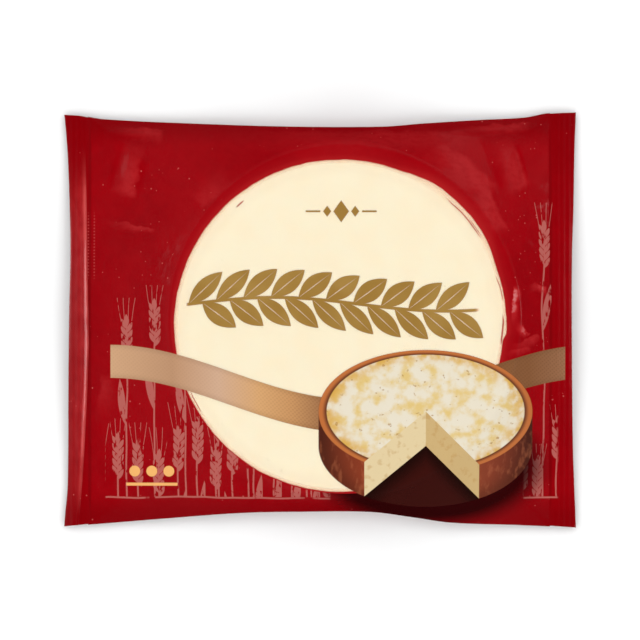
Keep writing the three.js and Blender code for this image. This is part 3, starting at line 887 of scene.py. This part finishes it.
def plain_back():
    """The red of the back, with no print. The seam along it is two layers thick and so deeper, and bare of
    ink at its free edge, where the white of the web shows as a hairline."""
    ink = Finish("red film")
    off = ink.y - FIN_Y
    layered = ink.fade(abs(off), FIN_WIDTH / 2 + 0.2, FIN_WIDTH / 2 - 0.2)
    ribs = (ink.x * (FULL_TURN / FIN_RIB_PITCH)).sine()
    pressed = ink.fade(ribs, -0.6, 0.6) * ink.fade(abs(off), 4.4, 3.8)
    colour = ink.blend(layered * (0.5 + pressed * 0.4), red_ground(ink), RED_LAYERED)
    hairline = ink.fade(abs(off + FIN_WIDTH / 2), 0.4, 0.15) * ink.fade(ink.noise(8, 3, shift=61), 0.3, 0.5)
    return ink.done(gloss(ink, ink.blend(hairline * 0.5, colour, BARE_WEB_AND_GLINT)))


pouch = pouch_skin()
seals = [end_seal(LEFT_SEAL, LEFT_CUT, LEFT_RIB), end_seal(RIGHT_SEAL, RIGHT_CUT, RIGHT_RIB)]
fins = [back_fin(LEFT_SEAL), back_fin(RIGHT_SEAL)]


def looks_down(points, faces):
    """1 for each face whose normal points down, where the film has no print, and 0 for the others."""
    corners = points[np.array([face[:3] for face in faces])]
    normal = np.cross(corners[:, 1] - corners[:, 0], corners[:, 2] - corners[:, 0])
    return (normal[:, 2] <= 0).astype(int)


slots = np.concatenate([looks_down(*part) for part in [pouch, *seals, *fins]])
wrapper = piece("film_wrapper", [pouch, *seals, *fins], [printed_front(), plain_back()], slots)
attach(wrapper, "root")
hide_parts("wrapper")

# ---- The window ----
# The same web where the print leaves it clear, taut over the flat of the cheese. The brushed edge of the
# red lies on it, and so do the gold motifs and those that run in from the print around it.


def window_skin():
    """A flat disc of the web's thickness that fills the opening, corner to corner with its edge."""
    steps = 12
    out = np.linspace(6, OPENING_RADIUS, steps)
    radius = np.concatenate([out, out[::-1]])[:, None]
    height = np.repeat([PACK_THICKNESS - WEB, PACK_THICKNESS], steps)[:, None]
    return skin(around(radius, height, outline_angle), [CHEESE_X, 0, PACK_THICKNESS - WEB],
                [CHEESE_X, 0, PACK_THICKNESS])


PEACH, BRUSHED_RED = paint(255, 205, 174, 1.18), paint(184, 34, 36)


def rim_tint(ink):
    """The red's thin edge: a peach line that fades out inwards, stronger where the edge swells, and further
    in a faint painted shade of peach, where the cheese dims towards its edge."""
    outside, swell = window_edge(ink)
    line = ink.fade(outside - swell, -1.7 - swell * 1.4, 0.1 + swell) * (0.45 + swell * 0.1)
    # The faint peach further in is painted shade on the cheese near the window's edge.
    return line.most(ink.fade(outside, -7, -1) * 0.05), PEACH


# Stray strokes of the brush inside the red's edge: how far each is outside the round, its middle and its
# half length as angles round the window in degrees, and its half width.
STROKES = [(-0.2, 41, 11.5, 0.26), (0.4, 36, 5, 0.16), (-2.5, 129.5, 2.2, 0.3), (-0.8, 13, 6, 0.2),
           (-1.4, -1.5, 6.5, 0.36), (-0.7, 208, 5, 0.2)]


def rim_red(ink):
    """The red up to its brushed edge, paler along it, and the strokes: arcs that taper to both ends."""
    outside, swell = window_edge(ink)
    beyond = outside - swell
    across, up = ink.x - WINDOW_X, ink.y - WINDOW_Y
    radius = apart(across, up)
    drift = (ink.noise(14, 2, shift=5) - 0.5) * 1.6
    arcs = []
    for out, middle, half_length, half_width in STROKES:
        toward = (across * math.cos(math.radians(middle)) + up * math.sin(math.radians(middle))) / radius
        tip, full = (math.cos(math.radians(half_length * share)) for share in (1, 0.3))
        arcs.append(ink.fade(toward, tip, full) * half_width - abs(radius - WINDOW_RADIUS - out - drift))
    strokes = ink.fade(ink.most_of(arcs), -0.02, 0.12)
    pale = ink.fade(beyond, 2.4 + swell, 0.2) * (swell * 0.2 + 0.5)
    colour = ink.blend(pale, front_red(ink), BRUSHED_RED)
    return ink.fade(beyond, -0.2, 0.2).most(strokes * 0.85), colour


def bare_film(ink):
    """Clear film: light passes straight through but for the gloss, which grows towards a glancing view."""
    normal = film_normal(ink)
    shine = ink.node("ShaderNodeBsdfGlossy", sockets={
        "Color": (1, 1, 1, 1), "Roughness": 0.15, "Normal": normal})
    aslant = ink.node("ShaderNodeLayerWeight", sockets={"Blend": 0.5, "Normal": normal}, output="Facing")
    return ink.node("ShaderNodeMixShader", sockets={
        0: 0.035 + aslant ** 5 * 0.9, 1: ink.node("ShaderNodeBsdfTransparent"), 2: shine})


def clear_window():
    ink = Finish("clear film with print")
    colour, cover = printed(ink, PEACH, 0.0, [rim_tint, rim_red, divider, sprig, ribbon, wheel])
    return ink.done(ink.node("ShaderNodeMixShader", sockets={
        0: cover, 1: bare_film(ink), 2: gloss(ink, colour)}))


def clear_underside():
    ink = Finish("clear film")
    return ink.done(bare_film(ink))


disc = window_skin()
window = piece("film_window", [disc], [clear_window(), clear_underside()], looks_down(*disc))
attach(window, "root")
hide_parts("window")

# ---- The floor, the light and the camera ----
# A white table under a white sky, with soft boxes that only the film's gloss picks up. The sky is dark
# about the zenith and brightens from the horizon upwards, so that the film's low relief is shaded.

WHITE, OFF_WHITE = (0.92, 0.92, 0.92, 1), (0.9, 0.9, 0.9, 1)
TABLE_HALF = 6


def white_table():
    top = Finish("white table")
    colour = top.blend(top.fade(top.noise(60, 2), 0.4, 0.6), WHITE, OFF_WHITE)
    return top.done(top.node("ShaderNodeBsdfPrincipled", sockets={"Base Color": colour, "Roughness": 0.9}))


table_mesh = bpy.data.meshes.new("table")
table_corners = [(x * TABLE_HALF, y * TABLE_HALF, 0) for x, y in ((-1, -1), (1, -1), (1, 1), (-1, 1))]
table_mesh.from_pydata(table_corners, [], [(0, 1, 2, 3)])
table_mesh.materials.append(white_table())
table = bpy.data.objects.new("table", table_mesh)
bpy.context.collection.objects.link(table)
table.visible_glossy = False

# The sky's brightness is the product of two ramps over the cosine of the angle from the zenith. Each goes
# from one cosine to the next between two values.
SKY_RAMPS = [(math.cos(math.radians(15)), math.cos(math.radians(38)), 0.0, LIGHT_LEVEL * 1.03),
             (0.0, 0.7, 0.6, 1.4)]

world = bpy.data.worlds.new("even sky")
world.use_nodes = True
sky, join = world.node_tree.nodes, world.node_tree.links.new
upward = sky.new("ShaderNodeSeparateXYZ")
join(sky.new("ShaderNodeTexCoord").outputs["Generated"], upward.inputs[0])
both = sky.new("ShaderNodeMath")
both.operation = "MULTIPLY"
for place, values in enumerate(SKY_RAMPS):
    ramp = sky.new("ShaderNodeMapRange")
    for socket, value in zip(("From Min", "From Max", "To Min", "To Max"), values):
        ramp.inputs[socket].default_value = value
    join(upward.outputs["Z"], ramp.inputs["Value"])
    join(ramp.outputs[0], both.inputs[place])
join(both.outputs[0], sky["Background"].inputs["Strength"])
sky["Background"].inputs["Color"].default_value = (1, 1, 1, 1)
world.cycles_visibility.glossy = False
bpy.context.scene.world = world


def soft_box(name, azimuth, zenith, wide, deep, brightness):
    """An area light that looks at the pack from a metre away, at an azimuth and an angle from the zenith in
    degrees. Its brightness is what a mirror would show of it, and only gloss sees it."""
    a, z = math.radians(azimuth), math.radians(zenith)
    data = bpy.data.lights.new(name, "AREA")
    data.shape = "RECTANGLE"
    data.size, data.size_y = wide, deep
    data.energy = brightness * math.pi * wide * deep
    box = bpy.data.objects.new(name, data)
    box.location = (math.sin(z) * math.cos(a), math.sin(z) * math.sin(a), math.cos(z))
    box.rotation_euler = (0, z, a)
    box.visible_camera = False
    box.visible_diffuse = False
    bpy.context.collection.objects.link(box)


soft_box("left box", 180, 80, 0.39, 1.4, 3.4)
soft_box("left card", 158, 57, 0.16, 0.3, 0.4)
soft_box("upper right card", 56, 63, 0.3, 0.7, 0.14)
soft_box("right strip", 5, 55, 0.22, 0.17, 1.2)

# The camera's height, and the width that it sees at the height VIEW_LEVEL.
CAMERA_HEIGHT, VIEW_WIDTH, VIEW_LEVEL = 2.4, 0.2250, 0.0025
SENSOR = 36
camera_data = bpy.data.cameras.new("camera")
camera_data.sensor_width = SENSOR
camera_data.lens = SENSOR * (CAMERA_HEIGHT - VIEW_LEVEL) / VIEW_WIDTH
camera_data.clip_end = 50
camera = bpy.data.objects.new("camera", camera_data)
camera.location = (0, 0, CAMERA_HEIGHT)
bpy.context.collection.objects.link(camera)
bpy.context.scene.camera = camera
bpy.context.scene.view_settings.view_transform = "Standard"
